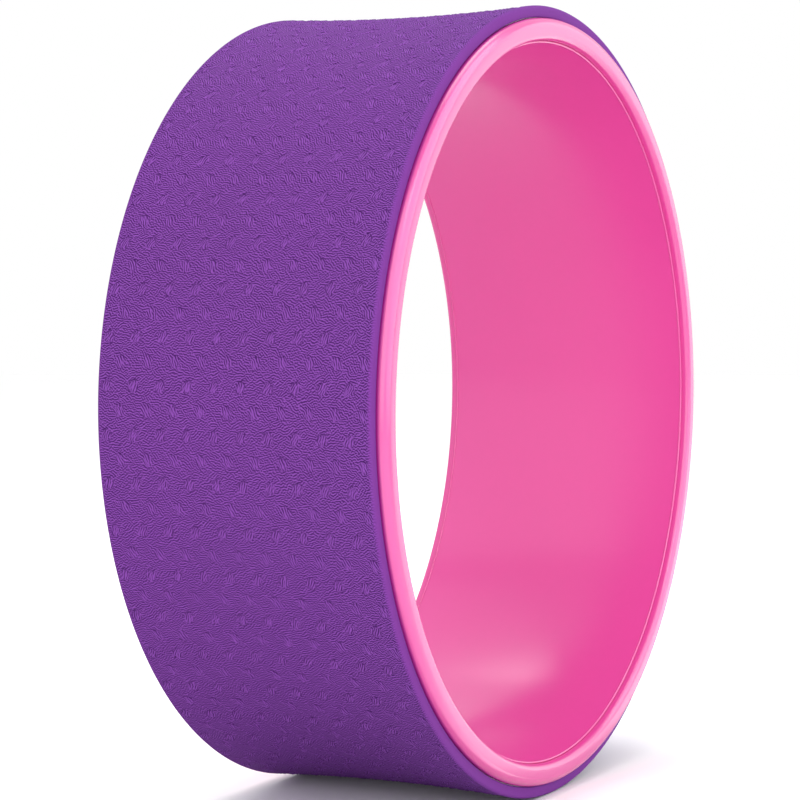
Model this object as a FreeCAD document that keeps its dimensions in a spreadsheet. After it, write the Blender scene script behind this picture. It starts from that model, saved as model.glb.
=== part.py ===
import FreeCAD, Part
import enum
import math
import os
import Sketcher

# Yoga wheel: a moulded hoop with a foam strip bonded round it.
# The wheel stands on its tread, its axis along Y and its centre at the origin, +Z up.
# Every piece is a profile in the XY plane, drawn on the -X side, turned about Y.

# Sizes in millimetres, one cell each.
SIZES = {
    # over the foam, at its two edges
    "wheel_diameter": 330.0,
    # hoop, from rim face to rim face
    "hoop_width": 126.0,
    # how far each rim stands out past the foam's end, and the radius that it is rounded by
    "rim_lip": 4.0,
    # hoop wall at the rim, from the lip's outside to the bore's land
    "rim_thickness": 9.3,
    "rim_inner_round": 2.5,
    # straight land in the bore, between the rim's inner round and the step
    "land_length": 2.2,
    # how far the land lies back from the bore beside it
    "land_depth": 0.6,
    # how far the bore swells inwards at mid width
    "bore_bulge_height": 0.9,
    # how far the tread is hollowed at mid width
    "tread_sag": 2.0,
    "pad_thickness": 5.0,
    # hairline left where the two ends of the foam strip meet
    "seam_gap": 0.4,
    "film_thickness": 0.2,
    # how far the bonding film stops short of the foam's edge
    "film_inset": 1.0,
}

# A rim's rounds are drawn as a few chords each, so that the wheel has few faces.
ROUND_CHORDS = 3
QUARTER_TURN = 90
FULL_TURN = 360

# Places worked out from the sizes, as expressions that the sketches are bound to.
RIM_HALF = "(sizes.hoop_width / 2)"
SEAT_HALF = f"({RIM_HALF} - sizes.rim_lip)"
FILM_HALF = f"({SEAT_HALF} - sizes.film_inset)"
LIP_RADIUS = "(sizes.wheel_diameter / 2 - sizes.pad_thickness - sizes.film_thickness)"
FACE_OUTER = f"({LIP_RADIUS} - sizes.rim_lip)"
SEAT_MIDDLE = f"({LIP_RADIUS} - sizes.tread_sag)"
FILM_MIDDLE = f"({SEAT_MIDDLE} + sizes.film_thickness)"
PAD_MIDDLE = f"({FILM_MIDDLE} + sizes.pad_thickness)"
TREAD_ARC = f"(({SEAT_HALF} ^ 2 + sizes.tread_sag ^ 2) / (2 * sizes.tread_sag))"
LAND_RADIUS = f"({LIP_RADIUS} - sizes.rim_thickness)"
FACE_INNER = f"({LAND_RADIUS} + sizes.rim_inner_round)"
LAND_HALF = f"({RIM_HALF} - sizes.rim_inner_round)"
STEP_HALF = f"({LAND_HALF} - sizes.land_length)"
BORE_MIDDLE = f"({LAND_RADIUS} - sizes.land_depth - sizes.bore_bulge_height)"
BORE_ARC = f"(({STEP_HALF} ^ 2 + sizes.bore_bulge_height ^ 2) / (2 * sizes.bore_bulge_height))"
STRIP_ANGLE = f"({FULL_TURN} - {FULL_TURN} * sizes.seam_gap / (pi * sizes.wheel_diameter))"


class Index(enum.IntEnum):
    """A sketch's own numbers for its axes and for the points of a curve."""

    AXES = -1
    START = 1
    END = 2
    CENTRE = 3


def make_sheet(doc):
    """Put every size in a cell of its own, with its name as alias."""
    sheet = doc.addObject("Spreadsheet::Sheet", "sizes")
    for row, (name, value) in enumerate(SIZES.items(), start=1):
        sheet.set(f"A{row}", name)
        sheet.set(f"B{row}", str(value))
        sheet.setAlias(f"B{row}", name)
    doc.recompute()
    return sheet


def make_body(doc, label):
    """Add a body whose label names its node."""
    body = doc.addObject("PartDesign::Body", label)
    body.Label = label
    return body


def make_sketch(body, name):
    """Add a sketch on the body's own XY plane."""
    planes = body.Origin.OriginFeatures
    sketch = body.newObject("Sketcher::SketchObject", name)
    sketch.AttachmentSupport = (next(plane for plane in planes if plane.Role == "XY_Plane"), [""])
    sketch.MapMode = "FlatFace"
    return sketch


def bind(sketch, kind, first, second, expression):
    """Add a dimension between two sketch points, or on one curve, and tie it to the sheet."""
    value = sketch.evalExpression(expression)
    index = sketch.addConstraint(Sketcher.Constraint(kind, *first, *second, value))
    sketch.setExpression(f"Constraints[{index}]", expression)


def hold_radius(sketch, point, radius):
    """Hold a point at a distance from the wheel's axis."""
    bind(sketch, "DistanceX", point, (Index.AXES, Index.START), radius)


def hold_height(sketch, point, side, height):
    """Hold a point at a distance from mid width, on one side of it."""
    ends = [(Index.AXES, Index.START), point]
    bind(sketch, "DistanceY", *ends[::side], height)


def add_arc(sketch, middle, arc_radius, half_length):
    """Add a long arc that is nearest to the axis at mid width, from -Y to +Y."""
    radius = sketch.evalExpression(arc_radius)
    centre = FreeCAD.Vector(-sketch.evalExpression(middle) - radius, 0, 0)
    spread = math.asin(sketch.evalExpression(half_length) / radius)
    circle = Part.Circle(centre, FreeCAD.Vector(0, 0, 1), radius)
    arc = sketch.addGeometry(Part.ArcOfCircle(circle, -spread, spread))
    sketch.addConstraint(Sketcher.Constraint("PointOnObject", arc, Index.CENTRE, Index.AXES))
    bind(sketch, "Radius", (arc,), (), arc_radius)
    hold_radius(sketch, (arc, Index.CENTRE), f"({middle} + {arc_radius})")
    return arc


def add_line(sketch, start, place):
    """Add a line from the end of another curve to a place, and give its far end."""
    line = sketch.addGeometry(Part.LineSegment(sketch.getPoint(*start), place))
    sketch.addConstraint(Sketcher.Constraint("Coincident", *start, line, Index.START))
    return line, Index.END


def add_side(sketch, outer, inner, side, half_length, corners):
    """Close one side of a profile with lines from its outer arc, by way of corners, to its inner arc.

    A corner is a radius and a height. The outer arc ends at half_length, and the last line is level.
    """
    end = Index.END if side > 0 else Index.START
    point = (outer, end)
    last_radius, last_height = "", half_length
    hold_height(sketch, point, side, half_length)
    for radius, height in corners:
        place = FreeCAD.Vector(-sketch.evalExpression(radius), side * sketch.evalExpression(height))
        point = add_line(sketch, point, place)
        if radius == last_radius:
            sketch.addConstraint(Sketcher.Constraint("Vertical", point[0]))
        else:
            hold_radius(sketch, point, radius)
        if height == last_height:
            sketch.addConstraint(Sketcher.Constraint("Horizontal", point[0]))
        else:
            hold_height(sketch, point, side, height)
        last_radius, last_height = radius, height
    point = add_line(sketch, point, sketch.getPoint(inner, end))
    sketch.addConstraint(Sketcher.Constraint("Horizontal", point[0]))
    sketch.addConstraint(Sketcher.Constraint("Coincident", *point, inner, end))


def round_corners(centre_radius, centre_height, round_radius, first_angle):
    """Give the corners between the chords of a quarter round, without its two ends."""
    corners = []
    for chord in range(1, ROUND_CHORDS):
        angle = first_angle + QUARTER_TURN * chord / ROUND_CHORDS
        corners.append((
            f"({centre_radius} + {round_radius} * cos({angle} deg))",
            f"({centre_height} + {round_radius} * sin({angle} deg))",
        ))
    return corners


def turn(body, sketch, angle):
    """Turn a profile about the wheel's axis, half of the angle each way."""
    feature = body.newObject("PartDesign::Revolution", f"{sketch.Name}_turned")
    feature.Profile = sketch
    feature.ReferenceAxis = (sketch, ["V_Axis"])
    feature.Midplane = True
    feature.setExpression("Angle", angle)
    sketch.Document.recompute()


def make_hoop(doc):
    """Moulded hoop: hollowed seat for the foam, rounded rims and a stepped, swelling bore."""
    body = make_body(doc, "hoop")
    sketch = make_sketch(body, "hoop_profile")
    seat = add_arc(sketch, SEAT_MIDDLE, TREAD_ARC, SEAT_HALF)
    bore = add_arc(sketch, BORE_MIDDLE, BORE_ARC, STEP_HALF)
    rim = [
        *round_corners(FACE_OUTER, SEAT_HALF, "sizes.rim_lip", 0),
        (FACE_OUTER, RIM_HALF),
        (FACE_INNER, RIM_HALF),
        *round_corners(FACE_INNER, LAND_HALF, "sizes.rim_inner_round", QUARTER_TURN),
        (LAND_RADIUS, LAND_HALF),
        (LAND_RADIUS, STEP_HALF),
    ]
    for side in (1, -1):
        add_side(sketch, seat, bore, side, SEAT_HALF, rim)
    turn(body, sketch, f"{FULL_TURN}")
    return body


def make_strip(doc, label, under_middle, over_middle, half_length):
    """A strip as thick all over, wrapped round the hoop with its butt seam on the +X side."""
    body = make_body(doc, label)
    sketch = make_sketch(body, f"{label}_profile")
    under = add_arc(sketch, under_middle, TREAD_ARC, half_length)
    over = add_arc(sketch, over_middle, TREAD_ARC, half_length)
    for side in (1, -1):
        add_side(sketch, over, under, side, half_length, [])
    turn(body, sketch, STRIP_ANGLE)
    return body


def make_film(doc):
    """Bonding film between the hoop and the foam, a little narrower than the foam."""
    return make_strip(doc, "adhesive_film", SEAT_MIDDLE, FILM_MIDDLE, FILM_HALF)


def make_pad(doc):
    """Foam strip that fills the seat between the rims."""
    return make_strip(doc, "foam_pad", FILM_MIDDLE, PAD_MIDDLE, SEAT_HALF)


def check(doc, bodies):
    """Stop if any object failed or a piece has no sound solid."""
    for item in doc.Objects:
        if "Invalid" in item.State or "Error" in item.State:
            raise RuntimeError(f"{item.Name} failed: {item.State}")
    for body in bodies:
        shape = body.Shape
        if shape.isNull() or not shape.isValid() or len(shape.Solids) != 1:
            raise RuntimeError(f"{body.Label} is not one sound solid")


def main():
    """Build the wheel and write one file for each piece."""
    doc = FreeCAD.newDocument("yoga_wheel")
    make_sheet(doc)
    bodies = [make_hoop(doc), make_film(doc), make_pad(doc)]
    doc.recompute()
    check(doc, bodies)
    os.makedirs("parts", exist_ok=True)
    for body in bodies:
        body.Shape.exportStep(f"parts/{body.Label}.step")
        box = body.Shape.optimalBoundingBox(False)
        print(f"{body.Label}: {body.Shape.Volume:.0f} mm3, {box.ZLength:.2f} x {box.YLength:.2f} mm")


main()
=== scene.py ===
import enum
import logging
import math
from dataclasses import dataclass

import bpy
import numpy as np
from mathutils import Matrix, Vector


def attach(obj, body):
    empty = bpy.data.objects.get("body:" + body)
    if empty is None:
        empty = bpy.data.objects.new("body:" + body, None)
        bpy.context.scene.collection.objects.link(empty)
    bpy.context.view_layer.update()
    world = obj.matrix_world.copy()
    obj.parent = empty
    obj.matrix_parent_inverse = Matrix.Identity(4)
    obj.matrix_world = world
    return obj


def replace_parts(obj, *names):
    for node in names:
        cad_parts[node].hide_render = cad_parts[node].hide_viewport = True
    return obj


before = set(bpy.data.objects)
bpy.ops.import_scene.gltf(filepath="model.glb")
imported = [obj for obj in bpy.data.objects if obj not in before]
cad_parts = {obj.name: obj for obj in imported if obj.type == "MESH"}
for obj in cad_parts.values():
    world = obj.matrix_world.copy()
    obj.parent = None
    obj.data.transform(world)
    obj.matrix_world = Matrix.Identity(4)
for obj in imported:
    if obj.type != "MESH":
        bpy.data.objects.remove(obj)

# Yoga wheel: a glossy moulded hoop with an embossed foam strip bonded round it.
# The wheel's axis is Y, its centre is the origin and it stands on its tread, +Z up.
# Sizes in the classes are millimetres, unless a name says otherwise.

MM = 0.001
# Points of a profile that lie closer than this are one point.
WELD_M = 1e-5
BODY = "root"

log = logging.getLogger("yoga_wheel")

Span = tuple[float, float]
Point = tuple[float, float]
Place = tuple[float, float, float]
Colour = tuple[float, float, float, float]


class Turn(enum.IntEnum):
    """Sense of an arc, as the pen draws it."""

    LEFT = 1
    RIGHT = -1


class Side(enum.IntEnum):
    """The wheel's two rims, by their side along the axis."""

    FAR = 1
    NEAR = -1


class Lean(enum.IntEnum):
    """Which way a row of leaves leans, as a factor on places across the strip."""

    AS_DRAWN = 1
    MIRRORED = -1


class Lit(enum.Enum):
    """What a lamp is there for: its light and its reflection, its reflection, or its light."""

    ALL = enum.auto()
    GLOSS = enum.auto()
    MATT = enum.auto()


class ProfilePen:
    """Draws a closed profile at +X, edge by edge, and turns it about the wheel's axis.

    A point of the profile is a radius from the axis and a height along it.
    """

    def __init__(self, name: str, start: Point) -> None:
        """Set the pen down.

        Args:
            name: Name of the piece that the profile becomes.
            start: First point.
        """
        bpy.ops.object.select_all(action="DESELECT")
        bpy.ops.mesh.primitive_plane_add(size=MM)
        self.piece: bpy.types.Object = bpy.context.object
        self.piece.name = self.piece.data.name = name
        bpy.ops.object.mode_set(mode="EDIT")
        bpy.ops.mesh.select_all(action="SELECT")
        bpy.ops.mesh.merge(type="CENTER")
        bpy.ops.transform.translate(value=(start[0] * MM, start[1] * MM, 0))
        self.at: Point = start

    def line(self, end: Point) -> None:
        """Draw a straight edge.

        Args:
            end: Its far end.
        """
        along = ((end[0] - self.at[0]) * MM, (end[1] - self.at[1]) * MM, 0)
        bpy.ops.mesh.extrude_vertices_move(TRANSFORM_OT_translate={"value": along})
        self.at = end

    def arc(self, centre: Point, end: Point, way: Turn, steps: int) -> None:
        """Draw a round edge.

        Args:
            centre: Its centre.
            end: Its far end.
            way: Its sense.
            steps: Edges that it is drawn with.
        """
        first = math.atan2(self.at[1] - centre[1], self.at[0] - centre[0])
        last = math.atan2(end[1] - centre[1], end[0] - centre[0])
        bpy.ops.mesh.spin(
            steps=steps,
            angle=(way * (last - first)) % math.tau,
            center=(centre[0] * MM, centre[1] * MM, 0),
            axis=(0, 0, -way),
        )
        self.at = end

    def turn(self, steps: int, copies: int, angle: float = math.tau) -> bpy.types.Object:
        """Turn the profile about the wheel's axis, one sector first and then copies of that.

        Args:
            steps: Steps of one sector.
            copies: Sectors in all.
            angle: How far round, in radians. Less than a full turn leaves two ends to cap.

        Returns:
            The piece, in object mode.
        """
        sector = angle / copies
        bpy.ops.mesh.select_all(action="SELECT")
        bpy.ops.mesh.remove_doubles(threshold=WELD_M)
        bpy.ops.mesh.spin(steps=steps, angle=sector, center=(0, 0, 0), axis=(0, 1, 0))
        bpy.ops.object.mode_set(mode="OBJECT")
        self._repeat(sector, copies)
        bpy.ops.object.mode_set(mode="EDIT")
        bpy.ops.mesh.select_all(action="SELECT")
        bpy.ops.mesh.remove_doubles(threshold=WELD_M)
        if angle < math.tau:
            bpy.ops.mesh.select_all(action="DESELECT")
            bpy.ops.mesh.select_non_manifold()
            bpy.ops.mesh.edge_face_add()
        bpy.ops.mesh.select_all(action="SELECT")
        bpy.ops.mesh.normals_make_consistent(inside=False)
        bpy.ops.object.mode_set(mode="OBJECT")
        return self.piece

    def _repeat(self, sector: float, copies: int) -> None:
        """Repeat the sector round the axis.

        Args:
            sector: Angle of the sector, in radians.
            copies: Sectors in all.
        """
        hub = bpy.data.objects.new("hub", None)
        bpy.context.scene.collection.objects.link(hub)
        hub.rotation_euler = (0, -sector, 0)
        bpy.context.view_layer.update()
        bpy.ops.object.modifier_add(type="ARRAY")
        array = self.piece.modifiers[-1]
        array.use_relative_offset, array.use_object_offset = False, True
        array.offset_object, array.count = hub, copies
        array.use_merge_vertices, array.merge_threshold = True, WELD_M
        bpy.ops.object.modifier_apply(modifier=array.name)
        bpy.data.objects.remove(hub)


class Wiring:
    """A node tree being wired, with short ways to add and join nodes."""

    def __init__(self, tree: bpy.types.NodeTree) -> None:
        """Start on a tree as it is."""
        self.tree = tree

    def join(self, source: bpy.types.NodeSocket, target: bpy.types.NodeSocket) -> None:
        """Link an output to an input."""
        self.tree.links.new(source, target)

    def add(
        self, kind: str, inputs: dict[str | int, object] | None = None, **settings: object
    ) -> bpy.types.Node:
        """Add a node.

        Args:
            kind: The node's type name.
            inputs: Values or sockets for its inputs, by name or number.
            settings: Properties of the node, which are set first.

        Returns:
            The node.
        """
        node = self.tree.nodes.new(kind)
        for name, value in settings.items():
            setattr(node, name, value)
        for key, value in (inputs or {}).items():
            if isinstance(value, bpy.types.NodeSocket):
                self.join(value, node.inputs[key])
            else:
                node.inputs[key].default_value = value
        return node

    def maths(self, operation: str, *terms: float | bpy.types.NodeSocket) -> bpy.types.NodeSocket:
        """Add a maths node with values or sockets as terms, and give its result."""
        return self.add("ShaderNodeMath", dict(enumerate(terms)), operation=operation).outputs[0]

    def remap(self, value: bpy.types.NodeSocket, old: Span, new: Span) -> bpy.types.NodeSocket:
        """Map a range of a value smoothly to another range.

        Args:
            value: The value's socket.
            old: Ends of the range.
            new: What its ends become.

        Returns:
            The result's socket.
        """
        ends = dict(zip(("From Min", "From Max", "To Min", "To Max"), (*old, *new)))
        node = self.add(
            "ShaderNodeMapRange", {"Value": value, **ends}, interpolation_type="SMOOTHSTEP"
        )
        return node.outputs[0]

    def blend(
        self,
        factor: bpy.types.NodeSocket,
        first: Colour | bpy.types.NodeSocket,
        second: Colour | bpy.types.NodeSocket,
    ) -> bpy.types.NodeSocket:
        """Blend two colours.

        Args:
            factor: Share of the second.
            first: Colour or socket.
            second: Colour or socket.

        Returns:
            The result's socket.
        """
        node = self.add("ShaderNodeMix", {0: factor, 6: first, 7: second}, data_type="RGBA")
        return node.outputs[2]

    def bump(self, height: bpy.types.NodeSocket, depth_m: float) -> bpy.types.NodeSocket:
        """Add a bump.

        Args:
            height: Socket of its height, from 0 to 1.
            depth_m: What a height of 1 stands for.

        Returns:
            The normal's socket.
        """
        inputs = {"Strength": 1.0, "Distance": depth_m, "Height": height}
        return self.add("ShaderNodeBump", inputs).outputs[0]

    def looked_at(self) -> bpy.types.NodeSocket:
        """Tell what is seen, straight, in gloss or through glass, from what only throws light.

        Returns:
            A socket that is 1 for what is seen and otherwise 0.
        """
        path = self.add("ShaderNodeLightPath").outputs
        seen = self.maths("MAXIMUM", path["Is Camera Ray"], path["Is Glossy Ray"])
        return self.maths("MAXIMUM", seen, path["Is Transmission Ray"])


def new_group(
    name: str, inputs: dict[str, str], outputs: dict[str, str]
) -> tuple[Wiring, bpy.types.Node, bpy.types.Node]:
    """Start a shader node group.

    Args:
        name: Name of the group.
        inputs: Socket types by name.
        outputs: Socket types by name.

    Returns:
        Its wiring, its input node and its output node.
    """
    group = bpy.data.node_groups.new(name, "ShaderNodeTree")
    for sockets, way in ((inputs, "INPUT"), (outputs, "OUTPUT")):
        for socket, kind in sockets.items():
            group.interface.new_socket(name=socket, in_out=way, socket_type=kind)
    wiring = Wiring(group)
    return wiring, wiring.add("NodeGroupInput"), wiring.add("NodeGroupOutput")


def linear(red: int, green: int, blue: int) -> Colour:
    """Give an sRGB colour as a linear one, by the standard curve.

    Args:
        red: From 0 to 255.
        green: From 0 to 255.
        blue: From 0 to 255.

    Returns:
        The linear colour with alpha 1.
    """
    parts = [value / 255 for value in (red, green, blue)]
    parts = [
        part / 12.92 if part <= 0.04045 else ((part + 0.055) / 1.055) ** 2.4 for part in parts
    ]
    return (*parts, 1.0)


def read(
    items: bpy.types.bpy_prop_collection, name: str, width: int = 1, kind: type = float
) -> np.ndarray:
    """Read one property of many items.

    Args:
        items: The items.
        name: The property's name.
        width: Values that each item has.
        kind: Type of the values.

    Returns:
        The values, with a row for each item if it has more than one.
    """
    values = np.empty(len(items) * width, dtype=kind)
    items.foreach_get(name, values)
    return values.reshape(-1, width) if width > 1 else values


def mark(mesh: bpy.types.Mesh, name: str, values: np.ndarray) -> None:
    """Give a mesh's points an attribute that its material reads."""
    mesh.attributes.new(name, "FLOAT", "POINT").data.foreach_set("value", values)


class SurfaceEffects:
    """Node groups for the finishes."""

    CLOUD_DETAIL = 3.0
    SPECK_DETAIL = 2.0
    # slants are in radians and swing from row to row, and evenness is the grain's anisotropy
    GROUND_SLANT = 1.46
    GROUND_SWING = 0.25
    VEIN_SWING = -0.4
    GROUND_EVENNESS = 0.44
    VEIN_EVENNESS = 0.9
    GRAIN_FREQUENCY = 2.0
    GRAIN_RANGE = (0.35, 0.65)

    def __init__(self) -> None:
        """Make the groups."""
        self.mottle = self._make_mottle()
        self.wrinkle = self._make_wrinkle()

    def _make_mottle(self) -> bpy.types.NodeTree:
        """Uneven colour: soft clouds over a fine speck.

        Returns:
            The group.
        """
        wiring, given, out = new_group(
            "mottle",
            {
                "Colour": "NodeSocketColor",
                "Cloud Scale": "NodeSocketFloat",
                "Speck Scale": "NodeSocketFloat",
                "Amount": "NodeSocketFloat",
            },
            {"Colour": "NodeSocketColor", "Cloud": "NodeSocketFloat"},
        )
        place = wiring.add("ShaderNodeTexCoord").outputs["Object"]
        cloud, speck = (
            wiring.add(
                "ShaderNodeTexNoise",
                {"Vector": place, "Scale": given.outputs[scale], "Detail": detail},
            ).outputs[0]
            for scale, detail in (
                ("Cloud Scale", self.CLOUD_DETAIL),
                ("Speck Scale", self.SPECK_DETAIL),
            )
        )
        mean = wiring.maths("MULTIPLY_ADD", speck, 0.5, wiring.maths("MULTIPLY", cloud, 0.5))
        off = wiring.maths("SUBTRACT", mean, 0.5)
        level = wiring.maths("MULTIPLY_ADD", off, given.outputs["Amount"], 1.0)
        shade = wiring.add(
            "ShaderNodeVectorMath",
            {0: given.outputs["Colour"], "Scale": level},
            operation="SCALE",
        )
        wiring.join(shade.outputs[0], out.inputs["Colour"])
        wiring.join(cloud, out.inputs["Cloud"])
        return wiring.tree

    def _make_wrinkle(self) -> bpy.types.NodeTree:
        """Wavy wrinkles of pressed foam, which slant by row and stand up as veins in a leaf.

        Returns:
            The group.
        """
        wiring, given, out = new_group(
            "wrinkle",
            {
                "Leaf": "NodeSocketFloat",
                "Row Start": "NodeSocketFloat",
                "Row Length": "NodeSocketFloat",
                "Spacing": "NodeSocketFloat",
                "Strip": "NodeSocketVector",
            },
            {"Height": "NodeSocketFloat"},
        )
        leaf = given.outputs["Leaf"]
        along = wiring.add("ShaderNodeSeparateXYZ", {0: given.outputs["Strip"]}).outputs["Y"]
        past = wiring.maths("SUBTRACT", along, given.outputs["Row Start"])
        rows = wiring.maths("DIVIDE", past, given.outputs["Row Length"])
        row = wiring.maths("SINE", wiring.maths("MULTIPLY", rows, math.pi))
        ground = wiring.maths("MULTIPLY_ADD", row, self.GROUND_SWING, self.GROUND_SLANT)
        vein = wiring.maths("MULTIPLY", row, self.VEIN_SWING)
        turned = wiring.maths("SUBTRACT", vein, ground)
        more_even = self.VEIN_EVENNESS - self.GROUND_EVENNESS
        grain = wiring.add(
            "ShaderNodeTexGabor",
            {
                "Vector": given.outputs["Strip"],
                "Scale": wiring.maths("DIVIDE", 1 / self.GRAIN_FREQUENCY, given.outputs["Spacing"]),
                "Frequency": self.GRAIN_FREQUENCY,
                "Anisotropy": wiring.maths("MULTIPLY_ADD", leaf, more_even, self.GROUND_EVENNESS),
                "Orientation": wiring.maths("MULTIPLY_ADD", turned, leaf, ground),
            },
            gabor_type="2D",
        )
        height = wiring.remap(grain.outputs["Value"], self.GRAIN_RANGE, (0.0, 1.0))
        wiring.join(height, out.inputs["Height"])
        return wiring.tree


@dataclass(frozen=True)
class Finish:
    """What every finish has: its names, its roughness and how uneven it is."""

    CLOUD_RANGE = (0.3, 0.7)

    name: str
    slot: str
    roughness: float
    roughness_spread: float
    cloud_scale: float
    speck_scale: float
    mottling: float

    def start(self) -> tuple[bpy.types.Material, Wiring, bpy.types.Node]:
        """Start a material.

        Returns:
            The material, its wiring and its Principled shader.
        """
        material = bpy.data.materials.new(self.name)
        material.use_nodes = True
        tree = material.node_tree
        return material, Wiring(tree), tree.nodes["Principled BSDF"]

    def mottle(
        self,
        wiring: Wiring,
        shader: bpy.types.Node,
        effects: SurfaceEffects,
        colour: Colour | bpy.types.NodeSocket,
    ) -> None:
        """Feed the shader a mottled colour, and a roughness that follows its clouds.

        Args:
            wiring: The material's wiring.
            shader: The material's shader.
            effects: Node groups.
            colour: Colour or socket.
        """
        mottle = wiring.add(
            "ShaderNodeGroup",
            {
                "Colour": colour,
                "Cloud Scale": self.cloud_scale,
                "Speck Scale": self.speck_scale,
                "Amount": self.mottling,
            },
            node_tree=effects.mottle,
        ).outputs
        rough = (self.roughness, self.roughness + self.roughness_spread)
        wiring.join(mottle["Colour"], shader.inputs["Base Color"])
        wiring.join(
            wiring.remap(mottle["Cloud"], self.CLOUD_RANGE, rough), shader.inputs["Roughness"]
        )

    def apply(self, piece: bpy.types.Object, material: bpy.types.Material) -> None:
        """Put the material on a piece.

        Args:
            piece: The piece.
            material: The material.
        """
        piece.data.materials.clear()
        piece.data.materials.append(material)


@dataclass(frozen=True)
class FoamFinish(Finish):
    """Matte closed-cell foam with pressed wrinkles between the leaves, painted darker in furrows
    and pressed marks and lighter on ridges, raised marks and leaves as shade and light, plain where
    it is cut.
    """

    name: str = "purple_foam"
    slot: str = "tread_foam"
    roughness: float = 0.75
    roughness_spread: float = 0.12
    cloud_scale: float = 14.0
    speck_scale: float = 900.0
    mottling: float = 0.28
    specular: float = 0.06
    # painted shade and light: the tread's colour is blended between these two by its wrinkles,
    # marks and leaves
    lit_ridge_colour: Colour = linear(130, 71, 162)
    shaded_furrow_colour: Colour = linear(68, 26, 93)
    cut_colour: Colour = linear(118, 53, 144)
    wrinkle_spacing: float = 0.95
    wrinkle_depth_m: float = 0.0002
    # how far wrinkles, relief and leaves shift the painted shade and light between the shaded
    # furrow colour and the lit ridge colour
    wrinkle_shade_share: float = 1.4
    relief_shade_share: float = 0.31
    leaf_light_share: float = 0.08

    def make(
        self, effects: SurfaceEffects, row_start: float, row_length: float
    ) -> bpy.types.Material:
        """Make the material.

        Args:
            effects: Node groups.
            row_start: Where a row of leaves starts along the strip.
            row_length: Length of a row of leaves along the strip.

        Returns:
            The material.
        """
        material, wiring, shader = self.start()
        leaf, relief, cut = (
            wiring.add("ShaderNodeAttribute", attribute_name=name).outputs["Fac"]
            for name in (FoamPad.LEAF, FoamPad.RELIEF, FoamPad.CUT)
        )
        lines = wiring.add(
            "ShaderNodeGroup",
            {
                "Strip": wiring.add("ShaderNodeUVMap", uv_map=FoamPad.STRIP_MAP).outputs[0],
                "Leaf": leaf,
                "Row Start": row_start,
                "Row Length": row_length,
                "Spacing": self.wrinkle_spacing,
            },
            node_tree=effects.wrinkle,
        ).outputs[0]
        # painted shade and light: furrows of the wrinkles and pressed marks are darker, their
        # ridges, raised marks and leaves lighter
        off = wiring.maths("SUBTRACT", lines, 0.5)
        level = wiring.maths("MULTIPLY_ADD", off, self.wrinkle_shade_share, 0.5)
        level = wiring.maths("MULTIPLY_ADD", relief, self.relief_shade_share, level)
        level = wiring.maths("MULTIPLY_ADD", leaf, self.leaf_light_share, level)
        tread = wiring.blend(level, self.shaded_furrow_colour, self.lit_ridge_colour)
        self.mottle(wiring, shader, effects, wiring.blend(cut, tread, self.cut_colour))
        height = wiring.maths("MULTIPLY", lines, wiring.maths("SUBTRACT", 1.0, cut))
        wiring.join(wiring.bump(height, self.wrinkle_depth_m), shader.inputs["Normal"])
        shader.inputs["Specular IOR Level"].default_value = self.specular
        return material


@dataclass(frozen=True)
class PlasticFinish(Finish):
    """Glossy moulded plastic, hardly uneven, with painted shade, tinted towards the foam's purple
    as its reflection, in the nook beside the foam.
    """

    name: str = "pink_plastic"
    slot: str = "hoop_plastic"
    roughness: float = 0.2
    roughness_spread: float = 0.05
    cloud_scale: float = 9.0
    speck_scale: float = 260.0
    mottling: float = 0.05
    colour: Colour = linear(212, 70, 149)
    # painted shade, tinted towards the foam's purple as its reflection, for the nook where the lips
    # meet the foam
    painted_nook_shade_colour: Colour = linear(140, 25, 116)
    wave_scale: float = 45.0
    wave_detail: float = 1.0
    wave_depth_m: float = 0.00003

    def make(self, effects: SurfaceEffects) -> bpy.types.Material:
        """Make the material.

        Args:
            effects: Node groups.

        Returns:
            The material.
        """
        material, wiring, shader = self.start()
        # painted shade in the nook beside the foam, blended in by the nook mark
        nook_shade = wiring.add("ShaderNodeAttribute", attribute_name=Hoop.NOOK_SHADE).outputs["Fac"]
        self.mottle(wiring, shader, effects, wiring.blend(nook_shade, self.colour, self.painted_nook_shade_colour))
        waves = wiring.add(
            "ShaderNodeTexNoise",
            {
                "Vector": wiring.add("ShaderNodeTexCoord").outputs["Object"],
                "Scale": self.wave_scale,
                "Detail": self.wave_detail,
            },
        )
        wiring.join(wiring.bump(waves.outputs[0], self.wave_depth_m), shader.inputs["Normal"])
        return material


@dataclass(frozen=True)
class FilmFinish(Finish):
    """Thin off-white bonding film."""

    name: str = "bonding_film"
    slot: str = "bonding_film"
    roughness: float = 0.45
    roughness_spread: float = 0.2
    cloud_scale: float = 40.0
    speck_scale: float = 700.0
    mottling: float = 0.2
    colour: Colour = linear(219, 214, 204)

    def make(self, effects: SurfaceEffects) -> bpy.types.Material:
        """Make the material.

        Args:
            effects: Node groups.

        Returns:
            The material.
        """
        material, wiring, shader = self.start()
        self.mottle(wiring, shader, effects, self.colour)
        return material


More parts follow.
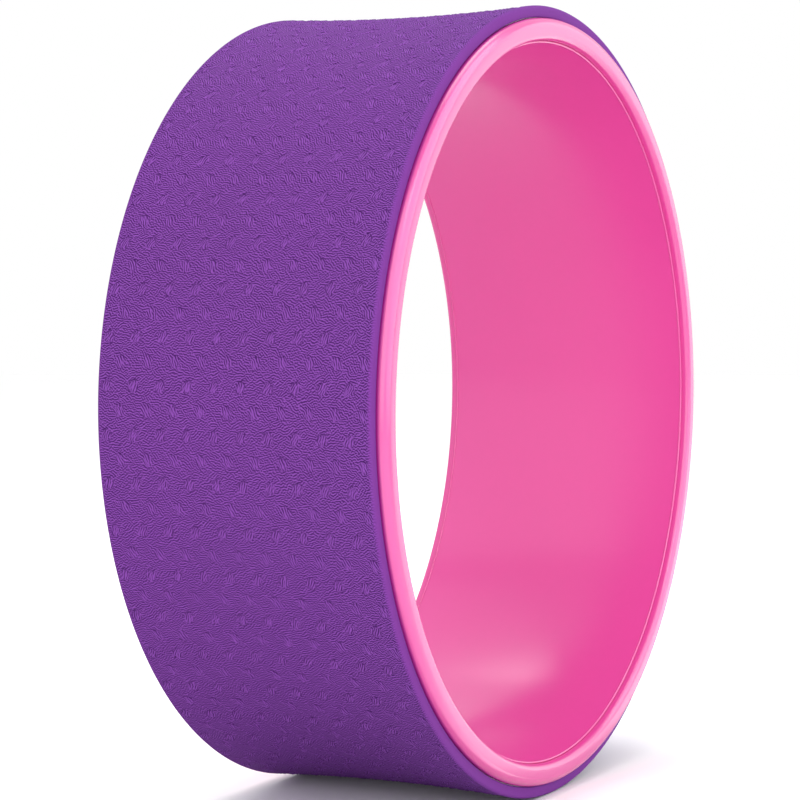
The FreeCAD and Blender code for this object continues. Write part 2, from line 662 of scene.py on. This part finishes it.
@dataclass
class Hoop:
    """The moulded hoop: a hollowed seat, rounded rims, and a swelling bore between two lands."""

    NOOK_SHADE = "nook_shade"

    # the width and the rims' rounds are a hair under the CAD sizes, to stay inside its box
    width: float = 125.996
    seat_half: float = 59.0
    lip_radius: float = 159.8
    lip_round: float = 3.998
    seat_middle: float = 157.8
    seat_arc: float = 871.25
    land_radius: float = 150.5
    land_half: float = 60.5
    inner_round: float = 2.498
    step_half: float = 58.3
    step_round: float = 0.5
    bore_edge: float = 149.9
    bore_middle: float = 149.0
    # how far under the lip's radius the painted shade in the nook reaches
    nook_shade_depth: float = 0.14
    smooth_degrees: float = 28.0
    seat_steps: int = 24
    bore_steps: int = 32
    round_steps: int = 10
    sector_steps: int = 12
    sectors: int = 24

    def build(self) -> bpy.types.Object:
        """Draw the profile, seat first, and turn it.

        Returns:
            The piece.
        """
        rise = self.bore_edge - self.bore_middle
        bore_arc = (self.step_half**2 + rise**2) / (2 * rise)
        seat_centre = (self.seat_middle + self.seat_arc, 0.0)
        bore_centre = (self.bore_middle + bore_arc, 0.0)
        pen = ProfilePen("hoop_shell", (self.lip_radius, -self.seat_half))
        pen.arc(seat_centre, (self.lip_radius, self.seat_half), Turn.RIGHT, self.seat_steps)
        self._rim(pen, Side.FAR)
        pen.arc(bore_centre, (self.bore_edge, -self.step_half), Turn.LEFT, self.bore_steps)
        self._rim(pen, Side.NEAR)
        piece = pen.turn(self.sector_steps, self.sectors)
        bpy.ops.object.shade_smooth_by_angle(angle=math.radians(self.smooth_degrees))
        self._paint_nook_shade(piece.data)
        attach(piece, BODY)
        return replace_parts(piece, "hoop")

    def _rim(self, pen: ProfilePen, side: Side) -> None:
        """Draw one rim, the far one from lip to bore and the near one from bore to lip.

        Args:
            pen: The pen.
            side: Which rim.
        """
        face = self.width / 2
        face_outer = self.lip_radius - self.lip_round
        face_inner = self.land_radius + self.inner_round
        eased_radius = self.land_radius - self.step_round
        eased_half = self.step_half + self.step_round
        # corners from lip to bore, and the centre of the round before each, if it has one
        corners = [
            (self.lip_radius, self.seat_half),
            (face_outer, face),
            (face_inner, face),
            (self.land_radius, self.land_half),
            (self.land_radius, eased_half),
            (eased_radius, self.step_half),
            (self.bore_edge, self.step_half),
        ]
        centres = [
            (face_outer, self.seat_half),
            None,
            (face_inner, self.land_half),
            None,
            (eased_radius, eased_half),
            None,
        ]
        if side is Side.FAR:
            runs = zip(centres, corners[1:])
        else:
            runs = zip(reversed(centres), reversed(corners[:-1]))
        for centre, (radius, height) in runs:
            end = (radius, side * height)
            if centre is None:
                pen.line(end)
            else:
                pen.arc((centre[0], side * centre[1]), end, Turn.LEFT, self.round_steps)

    def _paint_nook_shade(self, mesh: bpy.types.Mesh) -> None:
        """Mark where the lips run into the foam's ends, for painted shade there, tinted towards the
        foam's purple as its reflection.

        Args:
            mesh: The hoop's mesh.
        """
        places = read(mesh.vertices, "co", 3) / MM
        depth = np.hypot(places[:, 0], places[:, 2]) - self.lip_radius + self.nook_shade_depth
        mark(mesh, self.NOOK_SHADE, np.clip(depth / self.nook_shade_depth, 0.0, 1.0))

    def dress(self, piece: bpy.types.Object, effects: SurfaceEffects) -> None:
        """Give the hoop its plastic."""
        finish = PlasticFinish()
        finish.apply(piece, finish.make(effects))


@dataclass(frozen=True)
class Stroke:
    """One mark of the leaf emboss: a tapered bar that stands up from the foam or is pressed in."""

    start: Point
    end: Point
    start_width: float
    end_width: float
    start_rise: float
    end_rise: float

    def rise(self, across: np.ndarray, along: np.ndarray, edge: float) -> np.ndarray:
        """Work out the mark's height.

        Args:
            across: Places across the strip, from the leaf's middle.
            along: Places along the strip, from the leaf's middle.
            edge: Width of the mark's soft edge.

        Returns:
            Heights, zero outside the mark.
        """
        path = np.subtract(self.end, self.start)
        across, along = across - self.start[0], along - self.start[1]
        share = np.clip((across * path[0] + along * path[1]) / (path @ path), 0.0, 1.0)
        gap = np.hypot(across - share * path[0], along - share * path[1])
        half = (self.start_width + (self.end_width - self.start_width) * share) / 2
        inside = np.clip((half - gap) / edge + 0.5, 0.0, 1.0)
        inside = inside * inside * (3 - 2 * inside)
        return inside * (self.start_rise + (self.end_rise - self.start_rise) * share)


@dataclass(frozen=True)
class LeafEmboss:
    """The common leaf emboss of foam mats: rows of leaves, every second one mirrored."""

    columns_pitch: float = 11.69
    rows_pitch: float = 18.8
    # middle of a leaf in a mirrored row, and of one in a row as drawn
    first: Point = (3.62, 10.55)
    second: Point = (9.0, 1.13)
    row_start: float = 6.0
    body: Point = (0.2, -0.2)
    body_half: Point = (2.3, 2.2)
    body_edge_share: float = 0.25
    edge: float = 0.55
    reach_left: float = 4.4

    def strokes(self) -> list[Stroke]:
        """Give the marks of one leaf, from its middle.

        Returns:
            The marks.
        """
        return [
            # blade, which rises towards its tip, and the lobe beside it
            Stroke((-0.35, 1.5), (0.1, -1.75), 1.9, 1.5, 0.06, 0.34),
            Stroke((-3.5, 2.5), (-2.5, 1.2), 0.8, 1.0, 0.26, 0.22),
            Stroke((-2.5, 1.2), (-1.9, 0.0), 1.0, 0.6, 0.22, 0.06),
            # dot where the lobe starts, and the ridge over the blade
            Stroke((-3.9, 3.0), (-3.7, 2.8), 1.0, 1.0, 0.30, 0.30),
            Stroke((0.0, 3.8), (1.5, 2.9), 0.7, 0.9, 0.20, 0.26),
            # leaflets, and the beads that lead down to the next leaf
            Stroke((1.4, -0.95), (2.2, 0.45), 0.7, 0.6, 0.26, 0.12),
            Stroke((2.2, -2.2), (3.1, -0.6), 0.85, 0.7, 0.32, 0.16),
            Stroke((2.9, -3.4), (4.0, -2.4), 0.75, 0.75, 0.30, 0.22),
            Stroke((4.1, -4.85), (5.2, -3.85), 0.75, 0.75, 0.30, 0.22),
            Stroke((5.2, -6.2), (6.3, -5.2), 0.75, 0.75, 0.30, 0.22),
            # hollow over the blade, and the line that it runs out in
            Stroke((-2.5, 2.5), (-1.0, 2.77), 0.4, 0.55, -0.12, -0.22),
            Stroke((-1.0, 2.77), (0.5, 2.33), 0.6, 0.85, -0.26, -0.40),
            Stroke((0.5, 2.33), (1.33, 1.67), 0.85, 0.6, -0.40, -0.30),
            Stroke((1.33, 1.67), (2.2, 0.75), 0.55, 0.45, -0.28, -0.18),
            Stroke((2.2, 0.75), (3.6, -1.5), 0.45, 0.4, -0.18, -0.16),
            Stroke((3.6, -1.5), (7.2, -5.7), 0.4, 0.4, -0.16, -0.14),
            # drop under the blade's tip
            Stroke((-1.25, -1.4), (-0.6, -2.6), 0.5, 0.5, -0.14, -0.20),
            Stroke((-0.6, -2.6), (0.6, -3.0), 0.5, 0.5, -0.20, -0.14),
        ]

    def heights(self, across: np.ndarray, along: np.ndarray) -> tuple[np.ndarray, np.ndarray]:
        """Work out the relief.

        Args:
            across: Places across the strip.
            along: Places along the strip.

        Returns:
            Heights over the ground, and 0 to 1 for how far a place is in a leaf's veined body.
        """
        up, down, leaf = (np.zeros_like(across) for _ in range(3))
        half_row = self.rows_pitch / 2
        for middle, lean in ((self.first, Lean.MIRRORED), (self.second, Lean.AS_DRAWN)):
            beside = lean * (across - middle[0])
            beside = (beside + self.reach_left) % self.columns_pitch - self.reach_left
            above = (along - middle[1] + half_row) % self.rows_pitch - half_row
            off = np.hypot(
                (beside - self.body[0]) / self.body_half[0],
                (above - self.body[1]) / self.body_half[1],
            )
            inside = np.clip((1.0 - off) / self.body_edge_share + 0.5, 0.0, 1.0)
            leaf = np.maximum(leaf, inside)
            for stroke in self.strokes():
                rise = stroke.rise(beside, above, self.edge)
                if stroke.end_rise > 0:
                    up = np.maximum(up, rise)
                else:
                    down = np.minimum(down, rise)
        return up + down, leaf


@dataclass(frozen=True)
class BakeLayout:
    """How the foam strip lies on the map that its textures are baked on.

    The tread, with its two ends folded out, lies in bands one over the other. The underside is a
    narrow ribbon over each band, and the two faces of the seam stand beside the bands.
    """

    bands: int = 3
    size: float = 430.0
    margin: float = 1.0
    band_middle: float = 66.0
    band_pitch: float = 142.0
    ribbon_middle: float = 70.0
    ribbon_share: float = 0.06
    seam_start: float = 360.0
    seam_pitch: float = 15.0


@dataclass
class FoamPad:
    """The foam strip in the hoop's seat, its two ends meeting in a hairline seam at +X."""

    STRIP_MAP = "strip_mm"
    BAKE_MAP = "OFBake"
    LEAF = "leaf"
    RELIEF = "relief"
    CUT = "cut"
    # most corners of a face that was spun; the faces of the seam have more
    SPUN_CORNERS = 4

    half_width: float = 59.0
    under_middle: float = 158.0
    thickness: float = 5.0
    tread_arc: float = 871.25
    edge_round: float = 1.4
    under_round: float = 0.6
    seam_gap: float = 0.4
    outer_radius: float = 165.0
    # the ground between the leaves lies this much lower, so that they stay inside the CAD box
    sink: float = 0.3
    # width that the pattern fades in over, and the plain edge before it as a share of that
    fade_width: float = 1.2
    plain_share: float = 0.4
    # a little more than the deepest mark reaches down
    relief_depth: float = 0.75
    # how far off a surface a place may lie and still count as part of it
    tread_slack: float = 0.01
    under_slack: float = 0.3
    smooth_degrees: float = 50.0
    tread_steps: int = 200
    edge_steps: int = 4
    under_round_steps: int = 3
    under_steps: int = 6
    tile_steps: int = 32
    tiles_round: int = 55

    @property
    def tread_centre(self) -> Point:
        """Centre of the tread's hollow arc."""
        return (self.under_middle + self.thickness + self.tread_arc, 0.0)

    def build(self) -> bpy.types.Object:
        """Draw the strip's profile, tread first, and turn it from seam to seam.

        Returns:
            The piece, not yet embossed.
        """
        # rounds of the tread's edges, which touch the tread's arc and the end faces
        round_height = self.half_width - self.edge_round
        reach = self.tread_arc + self.edge_round
        lean = math.asin(round_height / reach)
        round_radius = self.tread_centre[0] - reach * math.cos(lean)
        tread_end = self.tread_centre[0] - self.tread_arc * math.cos(lean)
        tread_half = self.tread_arc * math.sin(lean)
        # rounds of the underside's edges
        under_centre = (self.under_middle + self.tread_arc, 0.0)
        under_half = self.half_width - self.under_round
        under_end = under_centre[0] - math.sqrt(self.tread_arc**2 - under_half**2)
        lower = under_end + self.under_round

        pen = ProfilePen("foam_tread", (tread_end, -tread_half))
        pen.arc(self.tread_centre, (tread_end, tread_half), Turn.RIGHT, self.tread_steps)
        pen.arc(
            (round_radius, round_height),
            (round_radius, self.half_width),
            Turn.LEFT,
            self.edge_steps,
        )
        pen.line((lower, self.half_width))
        pen.arc((lower, under_half), (under_end, under_half), Turn.LEFT, self.under_round_steps)
        pen.arc(under_centre, (under_end, -under_half), Turn.LEFT, self.under_steps)
        pen.arc(
            (lower, -under_half),
            (lower, -self.half_width),
            Turn.LEFT,
            self.under_round_steps,
        )
        pen.line((round_radius, -self.half_width))
        pen.arc(
            (round_radius, -round_height),
            (tread_end, -tread_half),
            Turn.LEFT,
            self.edge_steps,
        )
        gap = self.seam_gap / self.outer_radius
        piece = pen.turn(self.tile_steps, self.tiles_round, math.tau - gap)
        piece.data.transform(Matrix.Rotation(-gap / 2, 4, "Y"))
        return piece

    def emboss(self, mesh: bpy.types.Mesh, emboss: LeafEmboss) -> None:
        """Press the leaves into the tread, and lay the strip out flat for its material.

        Args:
            mesh: The strip's mesh.
            emboss: The pattern.
        """
        places = read(mesh.vertices, "co", 3) / MM
        radius = np.hypot(places[:, 0], places[:, 2])
        angle = np.arctan2(places[:, 2], -places[:, 0])
        side = np.abs(places[:, 1])
        from_centre = np.hypot(self.tread_centre[0] - radius, places[:, 1])
        tread = np.abs(from_centre - self.tread_arc) < self.tread_slack
        across = -places[:, 1]
        along = angle * emboss.rows_pitch * self.tiles_round / math.tau
        height, leaf = emboss.heights(across, along)
        room = (self.half_width - side) / self.fade_width - self.plain_share
        room = np.clip(room, 0.0, 1.0) * tread
        height, leaf = height * room, leaf * room
        lift = height - self.sink * room
        places[:, 0] *= (radius + lift) / radius
        places[:, 2] *= (radius + lift) / radius
        mesh.vertices.foreach_set("co", (places * MM).ravel())

        cut = np.clip((side - self.half_width) / self.edge_round + 1.0, 0.0, 1.0) * ~tread
        mark(mesh, self.LEAF, leaf)
        mark(mesh, self.RELIEF, height / self.sink)
        mark(mesh, self.CUT, cut)
        corners = read(mesh.loops, "vertex_index", kind=np.int32)
        flat = np.stack((across, along), axis=1)[corners]
        mesh.uv_layers.new(name=self.STRIP_MAP).data.foreach_set("uv", flat.ravel())
        mesh.update()

    def lay_out(self, mesh: bpy.types.Mesh, layout: BakeLayout) -> None:
        """Lay the strip out on the map that its textures are baked on.

        Args:
            mesh: The strip's mesh.
            layout: Where its parts lie on the map.
        """
        corners = read(mesh.loops, "vertex_index", kind=np.int32)
        counts = read(mesh.polygons, "loop_total", kind=np.int32)
        places = read(mesh.vertices, "co", 3)[corners] / MM
        middles = np.repeat(read(mesh.polygons, "center", 3) / MM, counts, axis=0)
        radius, turned = self._round_and_along(places)
        middle_radius, middle_turned = self._round_and_along(middles)
        length = math.tau * self.outer_radius
        band = np.floor(middle_turned * layout.bands)
        over = turned * length - band * length / layout.bands

        # an end face folds out from the tread's edge, by how far a corner lies under the tread
        side = np.abs(places[:, 1])
        tread_radius = self.under_middle + self.thickness + side**2 / (2 * self.tread_arc)
        drop = np.clip(tread_radius - radius - self.relief_depth, 0.0, None)
        up = np.sign(places[:, 1]) * (side + drop)
        under_radius = self.under_middle + middles[:, 1] ** 2 / (2 * self.tread_arc)
        under = middle_radius < under_radius + self.under_slack
        up = np.where(under, layout.ribbon_middle + places[:, 1] * layout.ribbon_share, up)
        up = up + layout.band_middle + layout.band_pitch * band

        seam = np.repeat(counts > self.SPUN_CORNERS, counts)
        seam_over = layout.seam_start + layout.seam_pitch * (middles[:, 2] > 0)
        over = np.where(seam, radius - self.under_middle + seam_over, over)
        up = np.where(seam, places[:, 1] + self.half_width, up)
        flat = (np.stack((over, up), axis=1) + layout.margin) / layout.size
        mesh.uv_layers.new(name=self.BAKE_MAP).data.foreach_set("uv", flat.ravel())

    @staticmethod
    def _round_and_along(places: np.ndarray) -> tuple[np.ndarray, np.ndarray]:
        """Give the radius of places, and how far round they are from the seam, from 0 to 1."""
        turned = np.arctan2(places[:, 2], -places[:, 0]) / math.tau + 0.5
        return np.hypot(places[:, 0], places[:, 2]), turned

    def dress(self, piece: bpy.types.Object, effects: SurfaceEffects, emboss: LeafEmboss) -> None:
        """Smooth the foam, give it its finish and let it stand for the CAD strip.

        Args:
            piece: The strip.
            effects: Node groups.
            emboss: The pattern.
        """
        bpy.ops.object.shade_smooth_by_angle(angle=math.radians(self.smooth_degrees))
        finish = FoamFinish()
        finish.apply(piece, finish.make(effects, emboss.row_start, emboss.rows_pitch / 2))
        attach(piece, BODY)
        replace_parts(piece, "foam_pad")


@dataclass
class BondingFilm:
    """The film between hoop and foam, which stays as CAD made it."""

    node: str = "adhesive_film"

    def dress(self, effects: SurfaceEffects) -> bpy.types.Object:
        """Give the film its finish.

        Args:
            effects: Node groups.

        Returns:
            The piece.
        """
        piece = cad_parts[self.node]
        finish = FilmFinish()
        finish.apply(piece, finish.make(effects))
        return piece


@dataclass(frozen=True)
class Softbox:
    """A soft lamp that looks at the wheel's centre, or at another place."""

    name: str
    place_m: Place
    size_m: Point
    power_w: float
    lit: Lit = Lit.ALL
    aim_m: Place = (0.0, 0.0, 0.0)

    def build(self) -> None:
        """Hang the lamp."""
        data = bpy.data.lights.new(self.name, "AREA")
        data.shape = "RECTANGLE"
        data.size, data.size_y = self.size_m
        data.energy = self.power_w
        lamp = bpy.data.objects.new(self.name, data)
        bpy.context.scene.collection.objects.link(lamp)
        back = Vector(self.place_m) - Vector(self.aim_m)
        lamp.location = self.place_m
        lamp.rotation_euler = back.to_track_quat("Z", "Y").to_euler()
        lamp.visible_camera = False
        lamp.visible_diffuse = self.lit is not Lit.GLOSS
        lamp.visible_glossy = self.lit is not Lit.MATT


@dataclass(frozen=True)
class Studio:
    """White surroundings: a pale floor, even white light, soft lamps, and cards for the gloss."""

    floor_radius_m: float = 6.0
    floor_height_m: float = -0.1651
    floor_corners: int = 64
    floor_colour: Colour = (0.97, 0.97, 0.97, 1.0)
    floor_bounce: Colour = (0.75, 0.75, 0.75, 1.0)
    floor_roughness: float = 0.8
    floor_specular: float = 0.1
    sky_colour: Colour = (1.0, 1.0, 1.0, 1.0)
    sky_strength: float = 1.03
    boxes: tuple[Softbox, ...] = (
        Softbox("top_box", (0.5, 0.2, 1.9), (1.2, 1.2), 18.0),
        Softbox("fill_box", (-1.6, -0.9, 0.3), (1.4, 0.9), 13.0, Lit.MATT),
        Softbox("back_box", (0.67, 1.4, 1.9), (2.6, 1.8), 9.0),
        Softbox("rim_box", (1.45, -0.72, 0.1), (0.8, 1.8), 8.0),
        Softbox("rim_card", (0.3, -1.9, 1.2), (3.3, 3.2), 145.0, Lit.GLOSS),
        Softbox("lip_card", (-1.9, -1.3, 1.2), (2.3, 3.2), 75.0, Lit.GLOSS),
        Softbox("bore_card", (-1.6, 1.0, 0.8), (2.4, 2.2), 15.0, Lit.GLOSS),
        # two cards that lie on the floor before the wheel and face up
        Softbox("table_card", (0.7, -0.5, -0.16), (1.4, 0.8), 5.0, Lit.GLOSS, (0.7, -0.49, 1.0)),
        Softbox(
            "front_card", (-0.45, -0.83, -0.158), (0.9, 1.5), 9.0, Lit.GLOSS, (-0.45, -0.82, 1.0)
        ),
    )

    def build(self) -> None:
        """Set the whole studio up."""
        self._floor()
        self._sky()
        for box in self.boxes:
            box.build()

    def _floor(self) -> None:
        """Lay a round floor that is white where it is seen, and throws less light up."""
        bpy.ops.object.select_all(action="DESELECT")
        bpy.ops.mesh.primitive_circle_add(
            vertices=self.floor_corners,
            radius=self.floor_radius_m,
            fill_type="NGON",
            location=(0, 0, self.floor_height_m),
        )
        floor = bpy.context.object
        floor.name = floor.data.name = "floor"
        material = bpy.data.materials.new("floor_paper")
        material.use_nodes = True
        wiring = Wiring(material.node_tree)
        shader = material.node_tree.nodes["Principled BSDF"].inputs
        colour = wiring.blend(wiring.looked_at(), self.floor_bounce, self.floor_colour)
        wiring.join(colour, shader["Base Color"])
        shader["Roughness"].default_value = self.floor_roughness
        shader["Specular IOR Level"].default_value = self.floor_specular
        floor.data.materials.append(material)

    def _sky(self) -> None:
        """Make the world white where it is seen, and as bright as the floor needs."""
        world = bpy.data.worlds.new("white_studio")
        bpy.context.scene.world = world
        world.use_nodes = True
        wiring = Wiring(world.node_tree)
        back = world.node_tree.nodes["Background"].inputs
        back["Color"].default_value = self.sky_colour
        less = 1.0 - self.sky_strength
        strength = wiring.maths("MULTIPLY_ADD", wiring.looked_at(), less, self.sky_strength)
        wiring.join(strength, back["Strength"])


@dataclass(frozen=True)
class PhotoCamera:
    """The camera that the photo was taken with, as fitted to the wheel's outlines."""

    lens: float = 109.036
    sensor: float = 36.0
    nearest_m: float = 0.01
    farthest_m: float = 100.0
    place_m: Place = (-0.932664, -0.466682, 0.042234)
    back: Place = (-0.888272, -0.45753, 0.040479)

    def build(self) -> None:
        """Set the camera up and make it the scene's."""
        data = bpy.data.cameras.new("photo_camera")
        data.lens, data.sensor_width = self.lens, self.sensor
        data.clip_start, data.clip_end = self.nearest_m, self.farthest_m
        camera = bpy.data.objects.new("photo_camera", data)
        bpy.context.scene.collection.objects.link(camera)
        camera.location = self.place_m
        camera.rotation_euler = Vector(self.back).to_track_quat("Z", "Y").to_euler()
        bpy.context.scene.camera = camera


def report(piece: bpy.types.Object) -> None:
    """Log a piece's size."""
    size = [round(length / MM, 1) for length in piece.dimensions]
    log.info("%s: %d faces, %s mm", piece.name, len(piece.data.polygons), size)


def main() -> None:
    """Build the wheel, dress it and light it."""
    logging.basicConfig(level=logging.INFO, format="%(name)s: %(message)s")
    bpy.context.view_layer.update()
    effects = SurfaceEffects()

    hoop = Hoop()
    shell = hoop.build()
    hoop.dress(shell, effects)
    report(shell)

    report(BondingFilm().dress(effects))

    pad, emboss = FoamPad(), LeafEmboss()
    tread = pad.build()
    pad.emboss(tread.data, emboss)
    pad.lay_out(tread.data, BakeLayout())
    pad.dress(tread, effects, emboss)
    report(tread)

    Studio().build()
    PhotoCamera().build()
    bpy.context.scene.view_settings.view_transform = "Standard"
    bpy.context.view_layer.update()


if __name__ == "__main__":
    main()
